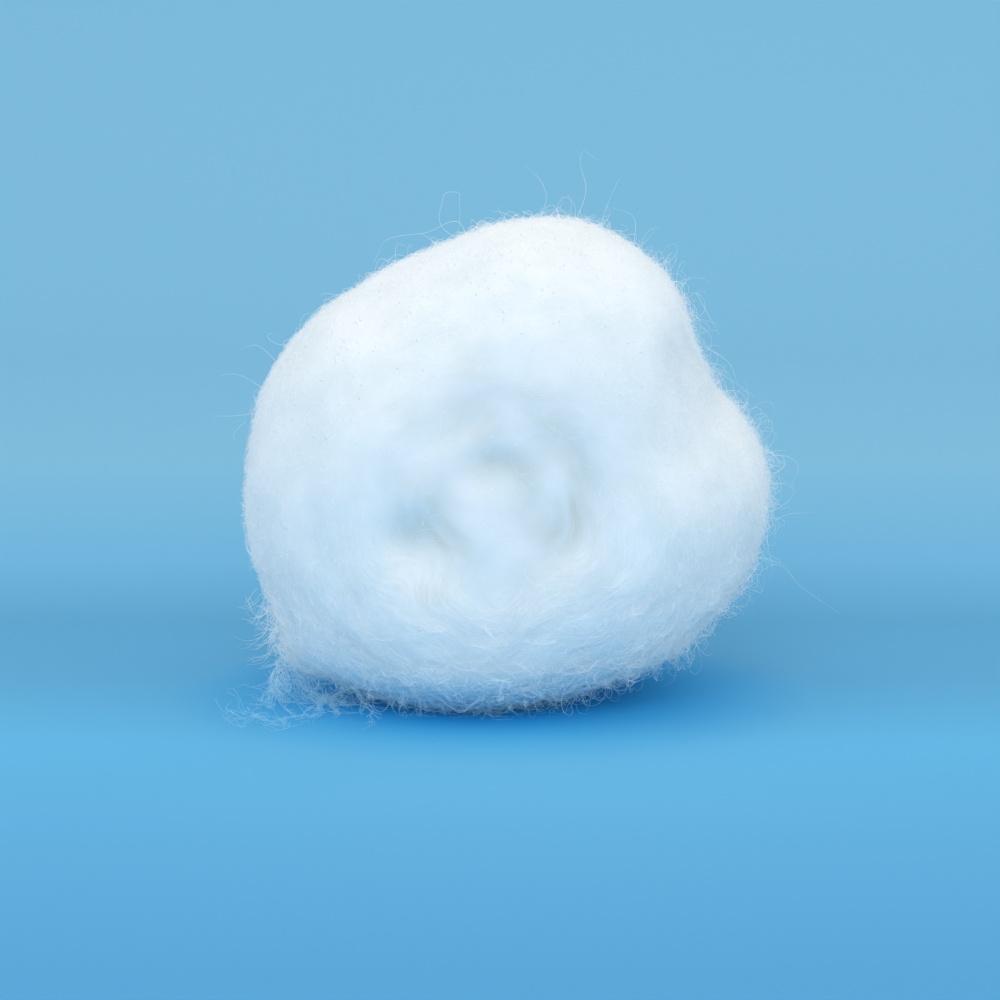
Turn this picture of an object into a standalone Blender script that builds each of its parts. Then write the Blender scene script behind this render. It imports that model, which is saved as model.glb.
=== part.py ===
"""A cotton ball: one length of carded cotton sliver, rolled up on itself and resting on its side.

The winding axis lies along Y, so the two end faces of the roll look along -Y and +Y.
The origin is on the small flat spot that the ball rests on, straight under the winding axis.
Angles run round the winding axis from +X, anticlockwise as seen from -Y. Sizes are in metres.
"""

import math

import bmesh
import bpy
from mathutils import Matrix, Vector, noise

MM = 0.001
FULL_TURN = 360  # degrees

# The roll as a whole
ROLL_RADIUS = 17.0 * MM  # round the winding axis
ROLL_LENGTH = 32.0 * MM  # along the winding axis, before the end faces are dished
AXIS_HEIGHT = 15.9 * MM  # of the winding axis above the surface that the ball rests on
END_FULLNESS = 2.3  # 2 is an ellipse, and more is plumper towards the rims

# The outline round the winding axis: (angle in degrees, radius as a share of ROLL_RADIUS)
OUTLINE = (
    (-6, 1.022),
    (3, 0.957),
    (12, 0.878),
    (24, 0.876),
    (33, 0.893),
    (42, 0.957),
    (54, 0.975),
    (66, 0.994),
    (80, 0.982),
    (92, 0.930),
    (104, 0.893),
    (120, 0.899),
    (135, 0.930),
    (155, 0.998),
    (180, 1.045),
    (205, 1.060),
    (228, 1.053),
    (245, 1.035),
    (270, 0.976),
    (293, 0.950),
    (308, 1.005),
    (322, 1.027),
    (338, 1.043),
)

# The end faces: a shallow dish, with the turns of the roll showing as a spiral furrow in it
DISH_DEPTH = 1.7 * MM
DISH_RADIUS = 8.0 * MM
TURN_PITCH = 3.1 * MM  # from one furrow to the next
FURROW_DEPTH = 0.9 * MM  # at its deepest
OPEN_SIDE = math.radians(50)  # where the turns part most
CLOSE_SHARE = 0.3  # of the depth, on the side across from that
SHALLOWEST = 0.45  # the furrow's least share of that depth
PATCH_SWING = 0.3  # of the noise, from the shallow patches to the deep ones
FURROW_SHARPNESS = 1.5  # more makes the turns rounder and the furrows narrower
FIRST_FURROW = 2.1 * MM  # the innermost furrow's distance from the centre at angle 0
FURROWS_FADE_FROM = 5.5 * MM
FURROWS_END = 10.5 * MM
FURROW_WANDER = 1.6  # the most radians that the furrow strays from an even spiral
WANDER_SIZE = 5.0 * MM  # of the patches in which it strays, or runs shallow
FRONT_CENTRE = (-0.018, -0.100)  # of the spiral from the winding axis, (x, z) as shares of ROLL_RADIUS
BACK_CENTRE = (0.035, -0.024)
RELIEF_SHARES = (0.1, 0.6)  # of the half length: no relief nearer the belt than that, and all of it past that

# Hollows where the turns part: (x and z from the winding axis, radius, depth), all as shares of ROLL_RADIUS
FRONT_HOLLOWS = (
    (-0.346, -0.200, 0.100, 0.088),
    (-0.065, 0.055, 0.094, 0.053),
    (-0.130, 0.265, 0.118, 0.041),
    (0.235, -0.210, 0.135, 0.041),
    (-0.235, -0.280, 0.106, 0.044),
)
BACK_HOLLOWS = (
    (0.082, 0.112, 0.100, 0.065),
    (-0.271, 0.200, 0.124, 0.047),
    (0.318, -0.212, 0.112, 0.059),
)

# The outer end of the sliver: a thin lap on the lower left, with a tuft drawn down from it
LAP_ANGLE = math.radians(222)  # where the outermost layer stops
LAP_THICKNESS = 0.6 * MM
LAP_RUN_UP = math.radians(40)  # the angle over which the last stretch stands proud
LAP_EDGE = math.radians(7)  # the angle over which it drops back
LAP_HALF_WIDTH = 9.5 * MM  # along the winding axis
LAP_FULL_SHARE = 0.6  # of the half width that is at the lap's full thickness
TUFT_ANGLE = math.radians(225)
TUFT_REACH = 1.5 * MM
TUFT_SPREAD = math.radians(12)
TUFT_HALF_WIDTH = 6.0 * MM
TUFT_OFFSET = -3.0 * MM  # of the tuft's middle along Y

# Unevenness left by winding soft fibre by hand
LUMP_SIZE = 7.5 * MM
LUMP_HEIGHT = 0.35 * MM
TWIST_BACK = math.radians(14)  # how far the outline turns between the front and the back
BACK_SHRINK = 0.9 * MM  # how much less the radius is at the back rim

# The mesh: around the winding axis, and in rings from the middle of an end face to the belt of the ball
AROUND = 80
FACE_RINGS = 22
SIDE_RINGS = 11
FACE_SHARE = 0.62  # of the radius, as far as the face rings go

COTTON_COLOUR = (0.93, 0.935, 0.93, 1.0)
COTTON_ROUGHNESS = 0.95


def clear_scene():
    for obj in list(bpy.data.objects):
        bpy.data.objects.remove(obj, do_unlink=True)


def smoothstep(low, high, value):
    """0 below low and 1 above high, with a smooth rise between them."""
    share = min(max((value - low) / (high - low), 0.0), 1.0)
    return share * share * (3 - 2 * share)


def bell(distance):
    """1 at 0, falling away to nothing by about 2."""
    return math.exp(-distance * distance)


def angle_past(start, angle):
    """The angle turned from start to angle, between -pi and pi."""
    return (angle - start + math.pi) % (2 * math.pi) - math.pi


def outline_radius(angle):
    """The outline's radius, on a smooth closed curve through its points (Catmull-Rom over the angle)."""
    degrees = math.degrees(angle) % FULL_TURN
    if degrees >= OUTLINE[0][0] + FULL_TURN:
        degrees -= FULL_TURN
    count = len(OUTLINE)

    def point(index):
        turns, place = divmod(index, count)
        return OUTLINE[place][0] + FULL_TURN * turns, ROLL_RADIUS * OUTLINE[place][1]

    index = max(i for i in range(count) if OUTLINE[i][0] <= degrees)
    (a0, r0), (a1, r1), (a2, r2), (a3, r3) = (point(index + i) for i in (-1, 0, 1, 2))
    t = (degrees - a1) / (a2 - a1)
    slope_1 = (r2 - r0) / (a2 - a0) * (a2 - a1)
    slope_2 = (r3 - r1) / (a3 - a1) * (a2 - a1)
    return (
        r1 * (2 * t**3 - 3 * t**2 + 1)
        + slope_1 * (t**3 - 2 * t**2 + t)
        + r2 * (3 * t**2 - 2 * t**3)
        + slope_2 * (t**3 - t**2)
    )


def loose_end(angle, y):
    """How far the lap and the tuft of the sliver's outer end stand proud of the outline."""
    past_lap = angle_past(LAP_ANGLE, angle)
    rise = smoothstep(-LAP_RUN_UP, 0, past_lap)
    drop = 1 - smoothstep(0, LAP_EDGE, past_lap)
    across = 1 - smoothstep(LAP_HALF_WIDTH * LAP_FULL_SHARE, LAP_HALF_WIDTH, abs(y))
    lap = LAP_THICKNESS * rise * drop * across
    along_tuft = angle_past(TUFT_ANGLE, angle) / TUFT_SPREAD
    across_tuft = (y - TUFT_OFFSET) / TUFT_HALF_WIDTH
    return lap + TUFT_REACH * bell(along_tuft) * bell(across_tuft)


def furrow(x, up):
    """How deep the spiral furrow is at x and up from its centre, with 0 on top of a turn."""
    distance, angle = math.hypot(x, up), math.atan2(up, x)
    stray = noise.noise(Vector((x, 0, up)) / WANDER_SIZE)
    patch = noise.noise(Vector((x, WANDER_SIZE, up)) / WANDER_SIZE)
    phase = 2 * math.pi * (distance - FIRST_FURROW) / TURN_PITCH - angle + FURROW_WANDER * stray
    valley = ((1 + math.cos(phase)) / 2) ** FURROW_SHARPNESS
    depth = FURROW_DEPTH * (SHALLOWEST + (1 - SHALLOWEST) * smoothstep(-PATCH_SWING, PATCH_SWING, patch))
    fade = 1 - smoothstep(FURROWS_FADE_FROM, FURROWS_END, distance)
    inner = smoothstep(0, FIRST_FURROW, distance)
    openness = (1 + math.cos(angle - OPEN_SIDE)) / 2
    openness += CLOSE_SHARE * (1 - openness)
    return depth * valley * fade * inner * openness


def spiral_centre(front):
    """Where the spiral of an end face starts, as (x, z) from the winding axis."""
    x, up = FRONT_CENTRE if front else BACK_CENTRE
    return ROLL_RADIUS * x, ROLL_RADIUS * up


def end_relief(x, up, front):
    """How far the end face lies inside the plump form, at x and up from the winding axis."""
    centre_x, centre_up = spiral_centre(front)
    from_centre = x - centre_x, up - centre_up
    depth = DISH_DEPTH * bell(math.hypot(*from_centre) / DISH_RADIUS) + furrow(*from_centre)
    for hollow in FRONT_HOLLOWS if front else BACK_HOLLOWS:
        hollow_x, hollow_up, radius, hollow_depth = (ROLL_RADIUS * share for share in hollow)
        depth += hollow_depth * bell(math.hypot(x - hollow_x, up - hollow_up) / radius)
    return depth


def profile(ring):
    """The plump profile at a ring counted from the pole: its shares of the radius and of the half length."""
    if ring <= FACE_RINGS:
        out = FACE_SHARE * ring / FACE_RINGS
        return out, (1 - out**END_FULLNESS) ** (1 / END_FULLNESS)
    start = math.asin(FACE_SHARE ** (END_FULLNESS / 2))
    past = (ring - FACE_RINGS) / SIDE_RINGS
    turn = start + (math.pi / 2 - start) * min(past, 1.0)
    return math.sin(turn) ** (2 / END_FULLNESS), abs(math.cos(turn)) ** (2 / END_FULLNESS)


def roll_point(direction):
    """Where a point of the unit sphere goes on the cotton ball."""
    belt = FACE_RINGS + SIDE_RINGS
    ring = round(2 * belt * math.acos(max(-1.0, min(1.0, -direction.y))) / math.pi)
    front = ring <= belt
    out, half_y = profile(ring if front else 2 * belt - ring)
    angle = math.atan2(direction.z, direction.x)
    y = (-1 if front else 1) * half_y * ROLL_LENGTH / 2
    towards_back = smoothstep(-ROLL_LENGTH / 2, ROLL_LENGTH / 2, y)
    radius = outline_radius(angle - TWIST_BACK * towards_back * (1 - abs(math.sin(angle))))
    radius -= BACK_SHRINK * towards_back
    distance = radius * out + loose_end(angle, y) * out**2

    centre_x, centre_up = spiral_centre(front)
    x = distance * math.cos(angle) + centre_x * (1 - out**2)
    up = distance * math.sin(angle) + centre_up * (1 - out**2)
    on_end_face = smoothstep(*RELIEF_SHARES, half_y)
    y += (1 if front else -1) * end_relief(x, up, front) * on_end_face

    point = Vector((x, y, up))
    lump = LUMP_HEIGHT * noise.noise(point / LUMP_SIZE)
    point += point.normalized() * lump
    point.z = max(point.z + AXIS_HEIGHT, 0.0)
    return point


def cotton_material():
    material = bpy.data.materials.new("bleached_cotton")
    material.use_nodes = True
    shader = material.node_tree.nodes["Principled BSDF"]
    shader.inputs["Base Color"].default_value = COTTON_COLOUR
    shader.inputs["Roughness"].default_value = COTTON_ROUGHNESS
    shader.inputs["Metallic"].default_value = 0.0
    return material


def cotton_ball(collection):
    """The rolled ball: a sphere with its poles on the end faces, shaped point by point."""
    mesh = bpy.data.meshes.new("cotton_ball")
    shape = bmesh.new()
    rings = 2 * (FACE_RINGS + SIDE_RINGS)
    bmesh.ops.create_uvsphere(shape, u_segments=AROUND, v_segments=rings, radius=1.0)
    poles_to_y = Matrix.Rotation(math.radians(90), 4, "X")
    bmesh.ops.transform(shape, matrix=poles_to_y, verts=shape.verts)
    for vertex in shape.verts:
        vertex.co = roll_point(vertex.co)
    bmesh.ops.recalc_face_normals(shape, faces=shape.faces)
    shape.to_mesh(mesh)
    shape.free()
    mesh.shade_smooth()
    mesh.materials.append(cotton_material())
    ball = bpy.data.objects.new("cotton_ball", mesh)
    collection.objects.link(ball)
    return ball


def main():
    clear_scene()
    parts = bpy.data.collections.new("cotton_ball_parts")
    bpy.context.scene.collection.children.link(parts)
    cotton_ball(parts)


main()
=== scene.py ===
import math

import bpy
import numpy as np
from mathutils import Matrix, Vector, noise
from mathutils.bvhtree import BVHTree


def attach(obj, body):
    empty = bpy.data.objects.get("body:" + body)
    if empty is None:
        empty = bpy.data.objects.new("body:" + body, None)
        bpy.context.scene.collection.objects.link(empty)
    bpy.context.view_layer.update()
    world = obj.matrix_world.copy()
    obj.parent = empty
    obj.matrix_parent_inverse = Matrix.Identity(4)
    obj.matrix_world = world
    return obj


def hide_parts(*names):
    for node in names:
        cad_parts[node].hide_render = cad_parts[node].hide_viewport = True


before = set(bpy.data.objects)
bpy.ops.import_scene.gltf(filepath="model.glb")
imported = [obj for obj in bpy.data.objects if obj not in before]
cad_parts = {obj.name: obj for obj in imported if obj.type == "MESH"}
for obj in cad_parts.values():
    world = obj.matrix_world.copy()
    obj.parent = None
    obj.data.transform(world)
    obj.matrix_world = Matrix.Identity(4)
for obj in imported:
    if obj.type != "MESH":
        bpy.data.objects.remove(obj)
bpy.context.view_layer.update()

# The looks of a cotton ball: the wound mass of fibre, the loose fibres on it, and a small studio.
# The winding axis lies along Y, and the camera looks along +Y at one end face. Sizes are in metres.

MM = 0.001

# The photograph's view
FRAME_WIDTH = 66.7 * MM  # what the picture is wide at the winding axis
LENS, SENSOR = 100.0, 36.0
ELEVATION = math.radians(8)
LOOK_AT = Vector((-0.45 * MM, 0, 13.0 * MM))

# The wound mass
ROLL_RADIUS = 17 * MM
AXIS_HEIGHT = 15.9 * MM
TURN_CENTRE = Vector((-0.3 * MM, 0, AXIS_HEIGHT - 1.7 * MM))
MASS_VOXEL = 0.26 * MM
MASS_INSET = 0.05 * MM  # the loose fibres make up for this
SOFTENING, FILLING = 110, 220  # smoothing steps that round the furrows, and that fill them
# the depth in a furrow at which its painted shade is full
HOLLOW_DEPTH = 0.35 * MM
STRAND_WIDTH, STRAND_LENGTH, STRAND_HEIGHT = 0.6 * MM, 2.5 * MM, 0.07 * MM  # side by side in the sliver
BUNDLE_WIDTH, BUNDLE_LENGTH, BUNDLE_HEIGHT = 2.2 * MM, 7 * MM, 0.16 * MM
CLOUD_SIZE, CLOUD_HEIGHT = 3.5 * MM, 0.14 * MM
WINDING_WANDER, WANDER_SIZE = 2.2 * MM, 3.5 * MM  # how far the strands stray from even winding
COMBED_BELOW, SMOOTH_ABOVE = 7 * MM, 17 * MM  # the strands show low down, and hardly at all on top
LEAST_COMBED, LEAST_BUNDLED = 0.12, 0.6  # the share of the strands and bundles that is left on top
PAINTED_BOUNCE_BELOW = 4 * MM  # the height up to which painted blue bounce light from the paper tints the cotton
CALM_CENTRE, COMBED_FROM = 2.5 * MM, 7 * MM  # nor do they show in the middle of the turns
BARE_CENTRE = 15 * MM  # fewer loose fibres lie on the end faces nearer the centre than this
MOST_BARE, END_FACE_CALM = 0.96, 0.65  # the share left out in the middle, and how much flatter they lie
LEAST_COAT = 0.3  # the coat's thickness where FLUFF is 0

# Places on the front face with painted shade: (x, z, radius) in mm from the winding axis, and how dark it is
PAINTED_SHADE_PLACES = (
    (-2.3, 6.3, 1.7, 0.35),
    (-1.2, 2.7, 1.3, 0.45),
    (0.6, 1.9, 1.0, 0.4),
    (1.5, 0.6, 0.9, 0.35),
    (2.4, 4.2, 1.8, 0.3),
    (3.6, 1.8, 1.7, 0.35),
    (4.1, -1.0, 1.7, 0.4),
    (3.2, -3.3, 1.8, 0.55),
    (-5.3, -1.2, 1.8, 0.45),
    (-3.9, -3.2, 1.1, 0.6),
    (-2.8, -3.9, 1.0, 0.5),
    (-6.4, -6.1, 1.2, 0.35),
    (-4.8, -7.0, 0.9, 0.35),
    (-6.5, 4.1, 1.4, 0.2),
)
STREAK_WIDTH, STREAK_LENGTH, STREAK_CONTRAST = 0.7 * MM, 3 * MM, 1.2  # the streaks that break them up

# The loose fibres. Real ones are under 0.02 mm thick, and these are drawn half as thick again, to show
FIBRE_RADIUS = 0.014 * MM
FIBRE_TIP = 0.45  # a fibre's radius at its tip, as a share of that at its root
ROOT_LIFT = 0.005 * MM  # of a fibre's middle over the surface at its root
ROOT_LEAN = 0.35  # the most that a fibre's root leans out from the surface
ARCH = 0.15, 0.6  # a fibre's height follows a half wave, from the first share of it, over the second
HEIGHT_PULL = 0.5  # how firmly a lying fibre keeps to that height
LYING_DRIFT, HANGING_DRIFT = 0.35, 0.4  # how fast the way a fibre curls changes along it
ON_TABLE = 3 * FIBRE_RADIUS  # below this a fibre no longer sinks
LOCK_WAVES = 0.5, 2  # the least and most waves that a lock's fibre makes along the lock
SEED = 7  # each kind of fibre adds its own number to this

# The coat's two kinds of fibre: how many to a piece, how long, how far out, and how tightly they curl
DOWN = {
    "count": 5000,
    "lengths": (0.7 * MM, 1.8 * MM),
    "mean_lift": 0.08 * MM,
    "most_lift": 0.4 * MM,
    "curl": 1.2 / MM,
    "points": 6,
}
LOOSE_FIBRES = {
    "count": 2700,
    "lengths": (2.0 * MM, 4.5 * MM),
    "mean_lift": 0.22 * MM,
    "most_lift": 1.6 * MM,
    "curl": 0.9 / MM,
    "points": 11,
}
LEAST_LIFT = 0.08 * MM  # of the coat's fibres
COAT_STRAY = 0.5  # how far fibres lie off the winding, in radians, as a standard deviation

# Locks of fibre. Ranges of length and lift are in mm, and a range of fibres leaves out its last number
WISPS, WISP_FIBRES, WISP_LENGTHS, WISP_LIFTS = 240, 5, (1.5, 4), (0.15, 0.4)
WISP_STRAY, WISP_CURL, WISP_SPREAD = 0.35, 0.5 / MM, 0.07 * MM
TAIL_LOCKS, TAIL_FIBRES, TAIL_LENGTHS = 240, (1, 6), (1, 3)
TAIL_STARTS = 1.0, 1.5  # a beta distribution along each line: more locks start near its top
TAIL_SPREAD, TAIL_LOCK_SPREAD = 0.42 * MM, 0.1 * MM  # of the locks, and of the fibres in a lock
TAIL_STRAY, TAIL_CURL, TAIL_DROOP = 0.4, 1.2 / MM, 0.12 / MM
FRINGE_LOCKS, FRINGE_FIBRES, FRINGE_LENGTHS = 300, (2, 6), (0.6, 1.5)
FRINGE_FROM, FRINGE_HEIGHT, FRINGE_LOCK_SPREAD = 0.3 * MM, 4 * MM, 0.05 * MM
FRINGE_STRAY, FRINGE_CURL, FRINGE_DROOP = 0.7, 2.2 / MM, 0.15 / MM
KNOTTED = 0.3  # the share of the fringe's locks that end in a knot
KNOT_FIBRES, KNOT_LENGTH, KNOT_CURL, KNOT_SPREAD = 2, 1.6 * MM, 9 / MM, 0.03 * MM

# How far fibres stand out round the winding axis, against the average: (angle in degrees, share)
FLUFF = (
    (0, 1.4), (45, 1.0), (75, 0.7), (110, 0.6), (150, 0.35),
    (185, 0.25), (218, 0.25), (232, 0.8), (270, 1.1), (320, 1.5), (360, 1.4),
)

# The lines that the sliver's outer end follows down to the table, drawn out to a web: (x, y, z) in mm
TAIL_LINES = (
    ((-15.8, -3, 7.6), (-15.4, -3.5, 5.6), (-14.4, -4, 3.8), (-14.8, -4, 1.8), (-15.3, -4.2, 0.2)),
    ((-14.8, -4, 1.8), (-15.4, -4.2, 0.3), (-16.2, -7.5, 0.1), (-17.3, -12, 0.1), (-18.7, -16.5, 0.1)),
    ((-12.6, -5, 3), (-12.2, -5, 1), (-11.2, -6, 0.1), (-13.2, -9, 0.1), (-14.6, -11, 0.1), (-16, -9, 0.1)),
    ((-14.8, -2, 5.5), (-14.6, -2.5, 3.5), (-13.8, -3, 1.5), (-12.5, -3.5, 0.2), (-10.5, -4.5, 0.1)),
    ((-10.5, -5, 1.6), (-9.5, -6.5, 0.4), (-8.6, -9.5, 0.1), (-8.6, -12, 0.1)),
)
TAIL_SHARES = (0.40, 0.06, 0.14, 0.33, 0.07)  # of the locks, on each of those lines

# Long fibres that stand clear of the ball, each from its root, in mm from the winding axis: (x, z)
STRAYS = (
    ((-2.6, 14.6), (-3.3, 15.6), (-5.2, 14.9), (-7.7, 14.5), (-8.6, 13.3), (-8.9, 12.8)),
    ((-3.2, 14.4), (-4.3, 15.3), (-4.3, 16.6), (-3.6, 17.5), (-3.1, 16.6), (-3.2, 14.6)),
    ((1.6, 15.7), (2.7, 16.3), (3.5, 16.6), (3.6, 17.1)),
    ((2.2, 15.9), (2.6, 17.1), (2.2, 18.3), (1.2, 19.2)),
    ((4.5, 15.6), (5.2, 17.6), (4.9, 20.0), (6.0, 19.6)),
    ((6.1, 15.1), (6.6, 16.7), (7.4, 18.4)),
    ((8.4, 14.2), (8.3, 15.9), (6.9, 16.5)),
    ((8.8, 14.1), (9.3, 15.0), (10.0, 15.2)),
    ((12.5, 10.9), (13.4, 9.3), (14.1, 8.1)),
    ((13.2, 7.3), (14.7, 6.3), (15.2, 5.1)),
    ((13.2, 6.0), (14.6, 5.3), (16.4, 4.1)),
    ((16.6, -0.1), (18.5, 0.1), (19.4, -0.7), (18.9, -2.0)),
    ((17.1, -4.9), (18.6, -3.8), (20.5, -3.7)),
    ((16.3, -8.5), (18.1, -7.3), (19.6, -8.6), (22.3, -10.5)),
    ((-16.2, 4.6), (-17.8, 5.5), (-18.9, 5.5)),
    ((-15.2, 6.3), (-16.5, 7.4), (-17.7, 7.1)),
    ((-16.8, 2.9), (-18.1, 2.7), (-19.5, 2.7)),
    ((-17.3, 2.4), (-18.1, 1.6), (-18.2, 1.0)),
)
STRAY_SCATTER = 0.4  # in mm towards or away from the camera, and more for each further point

# The backdrop paper's shades: (y in mm, colour). The photo shows a darker band just behind the ball, painted
# here as the ball's shadow
PAPER_SHADES = (
    (-63, "#5AA8D9"),
    (-42, "#62B1E0"),
    (-15, "#68BEEA"),
    (4, "#66B2DB"),
    (26, "#63AED7"),
    (55, "#77BFE7"),
    (120, "#8AC9E8"),
)
SHADE_REACH = 9 * MM  # how near the ball its underside deepens the paper's blue, as painted shadow
PAPER_SIZE, PAPER_RISE, PAPER_BEND, BEND_STEPS = 1.0, 0.8, 0.25, 24  # in metres


def srgb(code):
    """A hex colour as the linear RGBA that Blender's sockets take."""
    channels = [int(code[i : i + 2], 16) / 255 for i in (1, 3, 5)]
    return (*[c / 12.92 if c <= 0.04045 else ((c + 0.055) / 1.055) ** 2.4 for c in channels], 1.0)


def add_node(tree, kind, settings=None, inputs=None):
    """Adds a shader node. An input is a value, or an output socket to link from."""
    node = tree.nodes.new("ShaderNode" + kind)
    for name, value in (settings or {}).items():
        setattr(node, name, value)
    for name, value in (inputs or {}).items():
        if isinstance(value, bpy.types.NodeSocket):
            tree.links.new(value, node.inputs[name])
        else:
            node.inputs[name].default_value = value
    return node


def select_only(obj):
    if bpy.context.object and bpy.context.object.mode != "OBJECT":
        bpy.ops.object.mode_set(mode="OBJECT")
    bpy.ops.object.select_all(action="DESELECT")
    obj.select_set(True)
    bpy.context.view_layer.objects.active = obj


def apply_modifier(obj, kind, **settings):
    select_only(obj)
    modifier = obj.modifiers.new(kind.lower(), kind)
    for name, value in settings.items():
        setattr(modifier, name, value)
    bpy.ops.object.modifier_apply(modifier=modifier.name)


def points_of(mesh):
    places = np.empty(len(mesh.vertices) * 3, np.float32)
    mesh.vertices.foreach_get("co", places)
    return places.reshape(-1, 3).astype(float)


def normals_of(mesh):
    found = np.empty(len(mesh.vertices) * 3, np.float32)
    mesh.vertex_normals.foreach_get("vector", found)
    return found.reshape(-1, 3).astype(float)


def move_points(mesh, places):
    mesh.vertices.foreach_set("co", places.astype(np.float32).ravel())
    mesh.update()


def add_attribute(mesh, name, values, kind="FLOAT"):
    layer = mesh.attributes.new(name, kind, "POINT")
    layer.data.foreach_set("value" if kind == "FLOAT" else "vector", values.astype(np.float32).ravel())


def smooth_rise(low, high, values):
    """0 below low and 1 above high, with a smooth rise between them."""
    share = np.clip((values - low) / (high - low), 0, 1)
    return share * share * (3 - 2 * share)


# Bleached cotton


def painted_paper_bounce(tree, place, colour):
    """Tints a colour low on the ball with painted blue bounce light from the paper under it."""
    height = add_node(tree, "SeparateXYZ", inputs={"Vector": place.outputs["Object"]})
    clear_of_bounce = add_node(tree, "MapRange", inputs={"Value": height.outputs["Z"], 1: 0.0, 2: PAINTED_BOUNCE_BELOW})
    tint = add_node(
        tree,
        "Mix",
        {"data_type": "RGBA"},
        {0: clear_of_bounce.outputs["Result"], 6: srgb("#98D8F2"), 7: srgb("#FFFFFF")},
    )
    tinted = add_node(
        tree, "Mix", {"data_type": "RGBA", "blend_type": "MULTIPLY"}, {0: 1.0, 6: colour, 7: tint.outputs[2]}
    )
    return tinted.outputs[2]


def cotton_mass_material():
    """Carded, bleached cotton: a deep, dull white that light sinks into, with painted shade in its furrows
    and at listed places on the front face.
    """
    material = bpy.data.materials.new("bleached_carded_cotton")
    material.use_nodes = True
    tree = material.node_tree
    shader = tree.nodes["Principled BSDF"]
    shader.inputs["Roughness"].default_value = 0.95
    shader.inputs["Specular IOR Level"].default_value = 0.1
    shader.inputs["Sheen Weight"].default_value = 0.25
    shader.inputs["Sheen Roughness"].default_value = 0.6
    shader.inputs["Subsurface Weight"].default_value = 1.0
    shader.inputs["Subsurface Radius"].default_value = (1.0, 1.0, 1.0)
    shader.inputs["Subsurface Scale"].default_value = 2.5 * MM

    # Painted shade between the turns, fuller deeper in the furrows
    painted_hollow_shade = add_node(tree, "Attribute", {"attribute_name": "painted_hollow_shade"})
    depth = add_node(
        tree, "Mix", {"data_type": "RGBA"}, {0: painted_hollow_shade.outputs["Fac"], 6: srgb("#FDFDFC"), 7: srgb("#FAFAF7")}
    )

    # Painted shade at listed places on the front face, in streaks along the winding
    thin = add_node(tree, "Attribute", {"attribute_name": "thin"})
    with_painted_shade = add_node(
        tree, "Mix", {"data_type": "RGBA"}, {0: thin.outputs["Fac"], 6: depth.outputs[2], 7: srgb("#EFEBE3")}
    )

    # Thicker and thinner places in the web, about 3.5 mm across
    place = add_node(tree, "TexCoord")
    cloud = add_node(
        tree, "TexNoise", inputs={"Vector": place.outputs["Object"], "Scale": 1 / (3.5 * MM), "Detail": 4.0}
    )
    thickness = add_node(tree, "MapRange", inputs={"Value": cloud.outputs["Fac"], 1: 0.38, 2: 0.62})
    clouds = add_node(
        tree,
        "Mix",
        {"data_type": "RGBA"},
        {0: thickness.outputs["Result"], 6: srgb("#F5F8F8"), 7: srgb("#FFFFFF")},
    )

    # Strands of fibre 0.3 mm apart and 1.5 mm long. The real fibres are far finer, too fine to show
    winding = add_node(tree, "Attribute", {"attribute_name": "winding"})
    along = add_node(tree, "Mapping", inputs={"Vector": winding.outputs["Vector"], "Scale": (0.7, 3.3, 0.7)})
    fibres = add_node(
        tree,
        "TexNoise",
        inputs={"Vector": along.outputs["Vector"], "Scale": 1.0, "Detail": 3.0, "Roughness": 0.6},
    )
    combed = add_node(tree, "Attribute", {"attribute_name": "combed"})
    shown = add_node(
        tree, "Math", {"operation": "MULTIPLY"}, {0: fibres.outputs["Fac"], 1: combed.outputs["Fac"]}
    )
    lines = add_node(tree, "MapRange", inputs={"Value": shown.outputs["Value"], 1: 0.2, 2: 0.6})
    strands = add_node(
        tree,
        "Mix",
        {"data_type": "RGBA"},
        {0: lines.outputs["Result"], 6: srgb("#F2F6F8"), 7: srgb("#FFFFFF")},
    )

    cloudy = add_node(
        tree,
        "Mix",
        {"data_type": "RGBA", "blend_type": "MULTIPLY"},
        {0: 1.0, 6: with_painted_shade.outputs[2], 7: clouds.outputs[2]},
    )
    streaky = add_node(
        tree,
        "Mix",
        {"data_type": "RGBA", "blend_type": "MULTIPLY"},
        {0: 1.0, 6: cloudy.outputs[2], 7: strands.outputs[2]},
    )
    relief = add_node(
        tree, "Bump", inputs={"Height": shown.outputs["Value"], "Strength": 1.0, "Distance": 0.2 * MM}
    )
    # The base colour carries painted blue bounce light from the paper, low on the ball
    tree.links.new(painted_paper_bounce(tree, place, streaky.outputs[2]), shader.inputs["Base Color"])
    tree.links.new(relief.outputs["Normal"], shader.inputs["Normal"])
    return material


def fibre_material():
    """A single bleached cotton fibre: white, and so thin that most light goes through it."""
    material = bpy.data.materials.new("bleached_cotton_fibre")
    material.use_nodes = True
    tree = material.node_tree
    shader = tree.nodes["Principled BSDF"]
    shader.inputs["Roughness"].default_value = 0.8
    shader.inputs["Specular IOR Level"].default_value = 0.1
    shader.inputs["Subsurface Weight"].default_value = 1.0
    shader.inputs["Subsurface Radius"].default_value = (1.0, 1.0, 1.0)
    shader.inputs["Subsurface Scale"].default_value = 0.04 * MM
    place = add_node(tree, "TexCoord")
    patch = add_node(
        tree, "TexNoise", inputs={"Vector": place.outputs["Object"], "Scale": 1 / (2 * MM), "Detail": 1.0}
    )
    colour = add_node(
        tree, "Mix", {"data_type": "RGBA"}, {0: patch.outputs["Fac"], 6: srgb("#F4F8FA"), 7: srgb("#FFFFFF")}
    )
    # The base colour carries painted blue bounce light from the paper, low on the fibres
    tree.links.new(painted_paper_bounce(tree, place, colour.outputs[2]), shader.inputs["Base Color"])
    return material


# The wound mass of fibre


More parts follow.
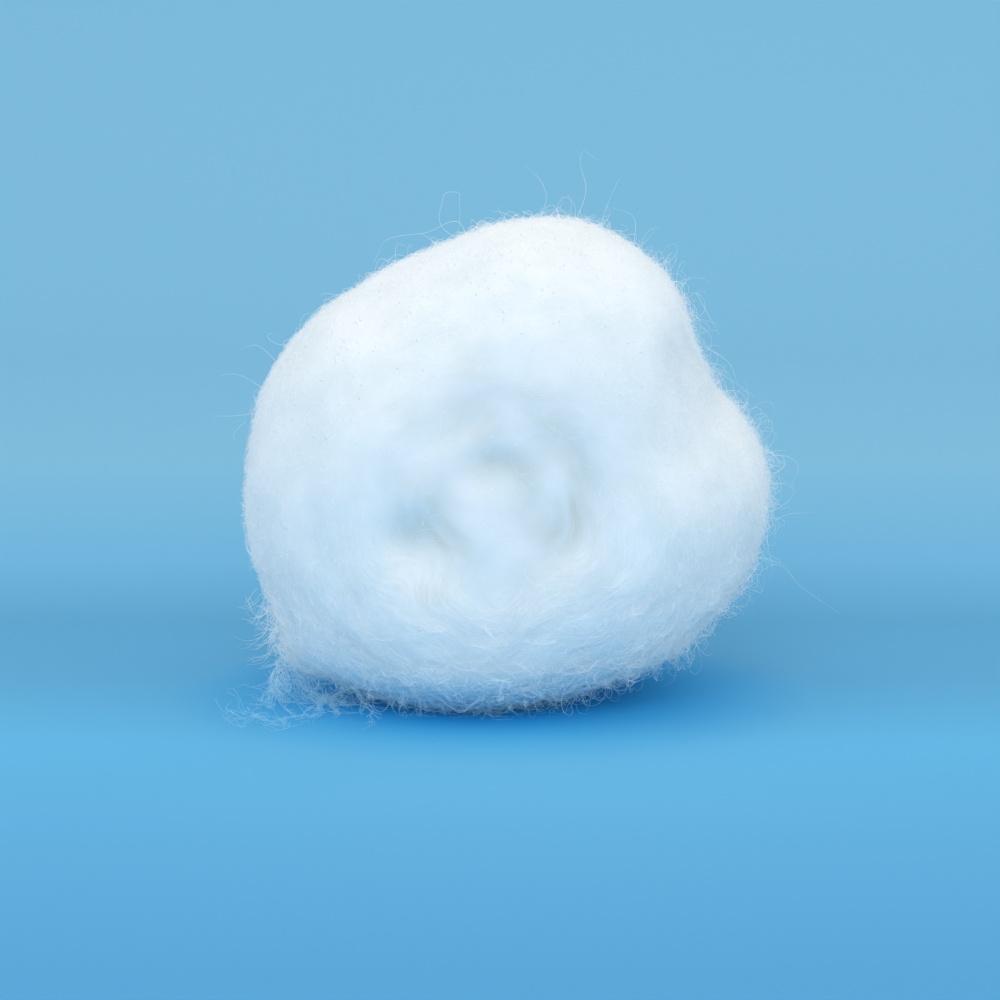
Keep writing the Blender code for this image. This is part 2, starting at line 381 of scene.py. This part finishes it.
def copy_of_roll():
    """The CAD roll as a piece of its own, with its loose triangles merged."""
    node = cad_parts["cotton_ball"]
    mass = bpy.data.objects.new("wound_cotton", node.data.copy())
    bpy.context.scene.collection.objects.link(mass)
    mass.data.materials.clear()
    select_only(mass)
    bpy.ops.object.mode_set(mode="EDIT")
    bpy.ops.mesh.select_all(action="SELECT")
    bpy.ops.mesh.remove_doubles(threshold=0.001 * MM)
    bpy.ops.mesh.customdata_custom_splitnormals_clear()
    bpy.ops.object.mode_set(mode="OBJECT")
    return mass


def patches(places, size, seed):
    """Noise from about -1 to 1 at each place. The size may differ along each axis."""
    return np.array([noise.noise(Vector(place)) for place in places / size + seed])


def winding_places(places):
    """Each point by its place in the winding: x and z go round with the sliver, and y goes across it."""
    x, y, z = (places - np.array(TURN_CENTRE)).T
    across = np.sign(y) * (np.abs(y) + ROLL_RADIUS - np.hypot(x, z))
    return np.stack([x, across + WINDING_WANDER * patches(places, WANDER_SIZE, 1.3), z], 1)


def combed_share(places):
    """How far the strands show there."""
    x, _, z = (places - np.array(TURN_CENTRE)).T
    low = 1 - smooth_rise(COMBED_BELOW, SMOOTH_ABOVE, places[:, 2])
    clear_of_centre = smooth_rise(CALM_CENTRE, COMBED_FROM, np.hypot(x, z))
    return (LEAST_COMBED + (1 - LEAST_COMBED) * low) * clear_of_centre


def depth_in_hollows(mass):
    """How far each point lies under the form that the mass would have with its furrows filled."""
    filled = mass.copy()
    filled.data = mass.data.copy()
    bpy.context.scene.collection.objects.link(filled)
    apply_modifier(filled, "SMOOTH", factor=0.5, iterations=FILLING)
    depth = ((points_of(filled.data) - points_of(mass.data)) * normals_of(filled.data)).sum(1)
    bpy.data.objects.remove(filled, do_unlink=True)
    return depth


def painted_shade_share(places, winding):
    """How much painted shade lies there, from 0 to 1, in streaks along the winding."""
    x, y, z = places.T / MM
    share = np.zeros(len(places))
    for shade_x, shade_z, radius, thin in PAINTED_SHADE_PLACES:
        away = np.hypot(x - shade_x, z - AXIS_HEIGHT / MM - shade_z) / radius
        share += thin * np.exp(-(away**2))
    streaks = 1 + STREAK_CONTRAST * patches(winding, (STREAK_LENGTH, STREAK_WIDTH, STREAK_LENGTH), 6.4)
    return np.clip(share * streaks, 0, 1) * (y < 0)


def wound_cotton():
    mass = copy_of_roll()
    apply_modifier(mass, "REMESH", mode="VOXEL", voxel_size=MASS_VOXEL)
    apply_modifier(mass, "SMOOTH", factor=0.5, iterations=SOFTENING)
    depth = depth_in_hollows(mass)
    mesh = mass.data
    formed = points_of(mesh)
    winding, combed = winding_places(formed), combed_share(formed)
    strands = STRAND_HEIGHT * patches(winding, (STRAND_LENGTH, STRAND_WIDTH, STRAND_LENGTH), 3.1)
    bundles = BUNDLE_HEIGHT * patches(winding, (BUNDLE_LENGTH, BUNDLE_WIDTH, BUNDLE_LENGTH), 5.7)
    clouds = CLOUD_HEIGHT * patches(formed, CLOUD_SIZE, 8.9)
    lift = strands * combed + bundles * np.maximum(combed, LEAST_BUNDLED) + clouds - MASS_INSET
    moved = formed + normals_of(mesh) * lift[:, None]
    moved[:, 2] = np.maximum(moved[:, 2], 0.0)
    move_points(mesh, moved)
    # Painted shade for the material, fuller deeper in the furrows
    add_attribute(mesh, "painted_hollow_shade", np.clip(depth / HOLLOW_DEPTH, 0, 1))
    # Painted shade for the material at listed places on the front face
    add_attribute(mesh, "thin", painted_shade_share(formed, winding))
    add_attribute(mesh, "combed", combed)
    add_attribute(mesh, "winding", winding / MM, "FLOAT_VECTOR")
    mesh.shade_smooth()
    mesh.materials.append(cotton_mass_material())
    return mass


# Loose fibres


class Surface:
    """The mass's surface, for fibres to start from and keep to."""

    def __init__(self, obj):
        mesh = obj.data
        self.tree = BVHTree.FromObject(obj, bpy.context.evaluated_depsgraph_get())
        self.places, self.normals = points_of(mesh), normals_of(mesh)
        angles = np.degrees(np.arctan2(self.places[:, 2] - AXIS_HEIGHT, self.places[:, 0])) % 360
        on_end_face = self.normals[:, 1] ** 2
        self.fluff = np.interp(angles, *zip(*FLUFF)) * (1 - END_FACE_CALM * on_end_face)
        from_centre = np.hypot(self.places[:, 0] - TURN_CENTRE.x, self.places[:, 2] - TURN_CENTRE.z)
        self.bareness = on_end_face * (1 - smooth_rise(CALM_CENTRE, BARE_CENTRE, from_centre))

    def nearest(self, place):
        found, normal, _, _ = self.tree.find_nearest(place)
        return found, normal

    def start(self, index):
        return Vector(self.places[index]), Vector(self.normals[index])


def winding_direction(place, normal):
    """The way the sliver runs at a place on the surface."""
    out = Vector((place.x - TURN_CENTRE.x, 0, place.z - TURN_CENTRE.z))
    along = Vector((-out.z, 0, out.x))
    along -= normal * along.dot(normal)
    if along.length < 1e-9:
        along = normal.orthogonal()
    return along.normalized()


def lying_fibre(surface, rng, start, normal, length, lift, stray, curl, points):
    """Points along one fibre that curls over the surface, and is drawn out from it by about lift."""
    along = winding_direction(start, normal)
    turn = rng.normal(0, stray) + rng.choice((0, math.pi))
    heading = along * math.cos(turn) + normal.cross(along) * math.sin(turn)
    heading = (heading + normal * rng.uniform(0, ROOT_LEAN)).normalized()
    step = length / (points - 1)
    axis = Vector(rng.normal(0, 1, 3)).normalized()
    place, path = start + normal * ROOT_LIFT, []
    for i in range(points):
        point = place.copy()
        point.z = max(point.z, FIBRE_RADIUS)
        path.append(point)
        foot, normal = surface.nearest(place)
        height = (place - foot).dot(normal)
        wanted = lift * math.sin(math.pi * (ARCH[0] + ARCH[1] * i / points))
        axis = (axis + Vector(rng.normal(0, LYING_DRIFT, 3))).normalized()
        heading += axis.cross(heading) * curl * step
        heading += normal * (wanted - height) * step / lift**2 * HEIGHT_PULL
        heading.normalize()
        place = place + heading * step
    return path


def hanging_fibre(rng, start, heading, length, curl, droop, points):
    """Points along a fibre that stands free, droops, and lies on the table once it gets there."""
    step = length / (points - 1)
    axis = Vector(rng.normal(0, 1, 3)).normalized()
    place, path = start.copy(), []
    for _ in range(points):
        path.append(place.copy())
        axis = (axis + Vector(rng.normal(0, HANGING_DRIFT, 3))).normalized()
        heading = heading + axis.cross(heading) * curl * step
        heading.z -= droop * step
        if place.z <= ON_TABLE:
            heading.z = max(heading.z, 0.0)
        heading = heading.normalized()
        place = place + heading * step
        place.z = max(place.z, FIBRE_RADIUS)
    return path


def lock(rng, path, count, spread):
    """Paths of fibres that cling together along a path, and part towards its end."""
    along = np.linspace(0, 1, len(path))[:, None]
    middle = np.array(path)
    fibres = []
    for _ in range(count):
        side, end, wave = rng.normal(0, spread, (3, 3))
        phase, waves = rng.uniform(0, 2 * math.pi), rng.uniform(*LOCK_WAVES)
        offset = side * (1 - along) + 2 * end * along + wave * np.sin(phase + 2 * math.pi * waves * along)
        points = middle + offset
        points[:, 2] = np.maximum(points[:, 2], FIBRE_RADIUS)
        fibres.append([Vector(point) for point in points])
    return fibres


def fibre_section():
    """A three-sided section, which is all that shows on something so thin."""
    bpy.ops.object.select_all(action="DESELECT")
    bpy.ops.mesh.primitive_circle_add(vertices=3, radius=FIBRE_RADIUS, location=(0, 0, 0))
    bpy.ops.object.convert(target="CURVE")
    return bpy.context.object


def fibres_as_mesh(curve, section, material):
    """Gives the lines of a curve their thickness, as one mesh."""
    curve.bevel_mode = "OBJECT"
    curve.bevel_object = section
    curve.use_fill_caps = True
    piece = bpy.data.objects.new(curve.name, curve)
    bpy.context.scene.collection.objects.link(piece)
    select_only(piece)
    bpy.ops.object.convert(target="MESH")
    piece = bpy.context.object
    piece.data.materials.clear()
    piece.data.materials.append(material)
    piece.data.shade_flat()
    # Real fibres let most light through, and the shadows of these would make the mass look gritty
    piece.visible_shadow = False
    return piece


def fibre_piece(name, paths, section, material):
    """One mesh of many fibres."""
    curve = bpy.data.curves.new(name, "CURVE")
    curve.dimensions = "3D"
    for path in paths:
        spline = curve.splines.new("POLY")
        spline.points.add(len(path) - 1)
        spline.points.foreach_set("co", [c for point in path for c in (*point, 1.0)])
        spline.points.foreach_set("radius", np.linspace(1.0, FIBRE_TIP, len(path)))
    return fibres_as_mesh(curve, section, material)


def coat(surface, seed, count, lengths, mean_lift, most_lift, curl, points):
    """Paths of fibres all over the surface, closer together where it's fluffy."""
    rng = np.random.default_rng(seed)
    chance = (LEAST_COAT + surface.fluff) * (1 - MOST_BARE * surface.bareness)
    starts = rng.choice(len(surface.places), count, replace=False, p=chance / chance.sum())
    paths = []
    for index in starts:
        lift = min(LEAST_LIFT + rng.exponential(mean_lift) * surface.fluff[index], most_lift)
        length = rng.uniform(*lengths)
        start = surface.start(index)
        paths.append(lying_fibre(surface, rng, *start, length, lift, COAT_STRAY, curl, points))
    return paths


def wisps(surface):
    """Locks of fibre that lie along the winding, low on the ball."""
    rng = np.random.default_rng(SEED + 30)
    chance = combed_share(surface.places) ** 3
    paths = []
    for index in rng.choice(len(surface.places), WISPS, p=chance / chance.sum()):
        lift, length = rng.uniform(*WISP_LIFTS) * MM, rng.uniform(*WISP_LENGTHS) * MM
        start = surface.start(index)
        path = lying_fibre(surface, rng, *start, length, lift, WISP_STRAY, WISP_CURL, points=10)
        paths += lock(rng, path, WISP_FIBRES, WISP_SPREAD)
    return paths


def drawn_tail():
    """The sliver's outer end, drawn down to the table at the lower left and along it."""
    rng = np.random.default_rng(SEED + 40)
    lines = [[Vector(point) * MM for point in line] for line in TAIL_LINES]
    paths = []
    for _ in range(TAIL_LOCKS):
        line = lines[rng.choice(len(lines), p=TAIL_SHARES)]
        stretch = rng.beta(*TAIL_STARTS) * (len(line) - 1)
        first = int(stretch)
        ahead = (line[first + 1] - line[first]).normalized()
        start = line[first].lerp(line[first + 1], stretch - first)
        start += Vector(rng.normal(0, TAIL_SPREAD, 3))
        start.z = max(start.z, FIBRE_RADIUS)
        heading = (ahead + Vector(rng.normal(0, TAIL_STRAY, 3))).normalized()
        length = rng.uniform(*TAIL_LENGTHS) * MM
        path = hanging_fibre(rng, start, heading, length, TAIL_CURL, TAIL_DROOP, points=9)
        paths += lock(rng, path, int(rng.integers(*TAIL_FIBRES)), TAIL_LOCK_SPREAD)
    return paths


def fringe(surface):
    """Short curly locks round the edge of the underside, some of them knotted."""
    rng = np.random.default_rng(SEED + 50)
    height = surface.places[:, 2]
    low = (height < FRINGE_HEIGHT) & (height > FRINGE_FROM)
    paths = []
    for index in rng.choice(np.flatnonzero(low), FRINGE_LOCKS):
        start, normal = surface.start(index)
        heading = (normal + Vector(rng.normal(0, FRINGE_STRAY, 3))).normalized()
        length = rng.uniform(*FRINGE_LENGTHS) * MM
        path = hanging_fibre(rng, start, heading, length, FRINGE_CURL, FRINGE_DROOP, points=8)
        paths += lock(rng, path, int(rng.integers(*FRINGE_FIBRES)), FRINGE_LOCK_SPREAD)
        if rng.random() < KNOTTED:
            knot = hanging_fibre(rng, path[-1], heading, KNOT_LENGTH, KNOT_CURL, droop=0, points=14)
            paths += lock(rng, knot, KNOT_FIBRES, KNOT_SPREAD)
    return paths


def stray_fibres(section, material):
    """Long single fibres that stand clear of the ball."""
    rng = np.random.default_rng(SEED + 60)
    curve = bpy.data.curves.new("stray_fibres", "CURVE")
    curve.dimensions = "3D"
    curve.resolution_u = 12
    for line in STRAYS:
        spline = curve.splines.new("BEZIER")
        spline.bezier_points.add(len(line) - 1)
        for i, (x, z) in enumerate(line):
            point = spline.bezier_points[i]
            point.co = (x * MM, rng.normal(0, STRAY_SCATTER * i) * MM, AXIS_HEIGHT + z * MM)
            point.radius = 1 + (FIBRE_TIP - 1) * i / (len(line) - 1)
        for i, point in enumerate(spline.bezier_points):
            before = spline.bezier_points[max(i - 1, 0)].co
            after = spline.bezier_points[min(i + 1, len(line) - 1)].co
            along = (after - before).normalized()
            point.handle_left = point.co - along * (point.co - before).length / 3
            point.handle_right = point.co + along * (after - point.co).length / 3
    return fibres_as_mesh(curve, section, material)


# The studio


def paper_material():
    """Graduated backdrop paper: dull, and paler and greyer behind the ball than in front of it, with a
    painted shadow band just behind the ball and a painted deeper blue in the shade under it.
    """
    material = bpy.data.materials.new("graduated_blue_paper")
    material.use_nodes = True
    tree = material.node_tree
    shader = tree.nodes["Principled BSDF"]
    shader.inputs["Roughness"].default_value = 0.9
    shader.inputs["Specular IOR Level"].default_value = 0.15
    place = add_node(tree, "TexCoord")
    depth = add_node(tree, "SeparateXYZ", inputs={"Vector": place.outputs["Object"]})
    hidden = add_node(tree, "AmbientOcclusion", {"samples": 2}, {"Distance": SHADE_REACH})
    nearest, farthest = PAPER_SHADES[0][0], PAPER_SHADES[-1][0]
    reach = add_node(
        tree, "MapRange", inputs={"Value": depth.outputs["Y"], 1: nearest * MM, 2: farthest * MM}
    )
    colour = add_node(tree, "ValToRGB", inputs={"Fac": reach.outputs["Result"]})
    shades = colour.color_ramp.elements
    while len(shades) < len(PAPER_SHADES):
        shades.new(1.0)
    for shade, (along, code) in zip(shades, PAPER_SHADES):
        shade.position = (along - nearest) / (farthest - nearest)
        shade.color = srgb(code)
    # The photo's shadow close under the ball is a deeper blue than the light there makes
    open_sky = add_node(tree, "MapRange", inputs={"Value": hidden.outputs["AO"], 1: 0.15, 2: 0.8})
    deepened = add_node(
        tree,
        "Mix",
        {"data_type": "RGBA"},
        {0: open_sky.outputs["Result"], 6: srgb("#00A8EA"), 7: colour.outputs["Color"]},
    )
    tree.links.new(deepened.outputs[2], shader.inputs["Base Color"])
    return material


def studio():
    """A sheet of paper that lies under the ball and bends up behind it."""
    back_edge = PAPER_SIZE / 2 - 0.01
    bpy.ops.object.select_all(action="DESELECT")
    bpy.ops.mesh.primitive_plane_add(size=PAPER_SIZE, location=(0, 0, 0))
    floor = bpy.context.object
    floor.name = "paper_sweep"
    bpy.ops.object.mode_set(mode="EDIT")
    bpy.ops.mesh.select_mode(type="EDGE")
    bpy.ops.mesh.select_all(action="DESELECT")
    bpy.ops.object.mode_set(mode="OBJECT")
    for edge in floor.data.edges:
        ends = [floor.data.vertices[i].co.y for i in edge.vertices]
        edge.select = min(ends) > back_edge
    bpy.ops.object.mode_set(mode="EDIT")
    bpy.ops.mesh.extrude_region_move(TRANSFORM_OT_translate={"value": (0, 0, PAPER_RISE)})
    bpy.ops.object.mode_set(mode="OBJECT")
    for edge in floor.data.edges:
        ends = [floor.data.vertices[i].co for i in edge.vertices]
        edge.select = all(e.y > back_edge and e.z < 0.01 for e in ends)
    bpy.ops.object.mode_set(mode="EDIT")
    bpy.ops.mesh.bevel(offset=PAPER_BEND, segments=BEND_STEPS, affect="EDGES")
    bpy.ops.object.mode_set(mode="OBJECT")
    floor.data.shade_smooth()
    floor.data.materials.append(paper_material())


def lamp(name, place, size, power, code="#FFFFFF", aim=(0, 0, AXIS_HEIGHT)):
    """A round softbox. Places and sizes are in metres, and the power in watts."""
    light = bpy.data.lights.new(name, "AREA")
    light.color = srgb(code)[:3]
    light.shape = "DISK"
    light.size = size
    light.energy = power
    obj = bpy.data.objects.new(name, light)
    bpy.context.scene.collection.objects.link(obj)
    obj.location = place
    obj.rotation_euler = (Vector(aim) - obj.location).to_track_quat("-Z", "Y").to_euler()


def lights_and_camera():
    scene = bpy.context.scene
    scene.view_settings.view_transform = "Standard"
    # The room: bluish low down, where it takes on the paper's colour, and a warmer white above
    world = bpy.data.worlds.new("studio_air")
    scene.world = world
    world.use_nodes = True
    tree = world.node_tree
    place = add_node(tree, "TexCoord")
    height = add_node(tree, "SeparateXYZ", inputs={"Vector": place.outputs["Generated"]})
    rise = add_node(tree, "MapRange", inputs={"Value": height.outputs["Z"], 1: 0.0, 2: 0.4})
    colour = add_node(
        tree,
        "Mix",
        {"data_type": "RGBA"},
        {0: rise.outputs["Result"], 6: srgb("#B0C8D8"), 7: srgb("#FFF9F4")},
    )
    tree.links.new(colour.outputs[2], tree.nodes["Background"].inputs["Color"])
    tree.nodes["Background"].inputs["Strength"].default_value = 0.85
    lamp("back_softbox", (0.10, 0.25, 0.40), 0.30, 0.10)
    lamp("front_softbox", (-0.04, -0.42, 0.21), 0.35, 0.88, "#E6F0F8")
    lamp("backdrop_wash", (0, 0.30, 0.75), 0.5, 0.3, aim=(0, 0.75, 0.25))

    camera = bpy.data.cameras.new("camera")
    camera.lens, camera.sensor_width = LENS, SENSOR
    camera.clip_start, camera.clip_end = 0.01, 10.0
    obj = bpy.data.objects.new("camera", camera)
    scene.collection.objects.link(obj)
    back = Vector((0, -math.cos(ELEVATION), math.sin(ELEVATION)))
    obj.location = LOOK_AT + back * (FRAME_WIDTH / 2) / (SENSOR / 2 / LENS)
    obj.rotation_euler = (-back).to_track_quat("-Z", "Y").to_euler()
    scene.camera = obj


def main():
    studio()
    lights_and_camera()
    mass = wound_cotton()
    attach(mass, "root")
    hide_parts("cotton_ball")

    surface = Surface(mass)
    section = fibre_section()
    material = fibre_material()
    bunches = {}
    for i in (1, 2):
        bunches[f"down_{i}"] = coat(surface, SEED + i, **DOWN)
        bunches[f"loose_fibres_{i}"] = coat(surface, SEED + 10 + i, **LOOSE_FIBRES)
    bunches["wisps"] = wisps(surface)
    bunches["drawn_tail"] = drawn_tail()
    bunches["underside_fringe"] = fringe(surface)
    pieces = [fibre_piece(name, paths, section, material) for name, paths in bunches.items()]
    pieces.append(stray_fibres(section, material))
    bpy.data.objects.remove(section, do_unlink=True)
    for piece in pieces:
        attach(piece, "root")


main()
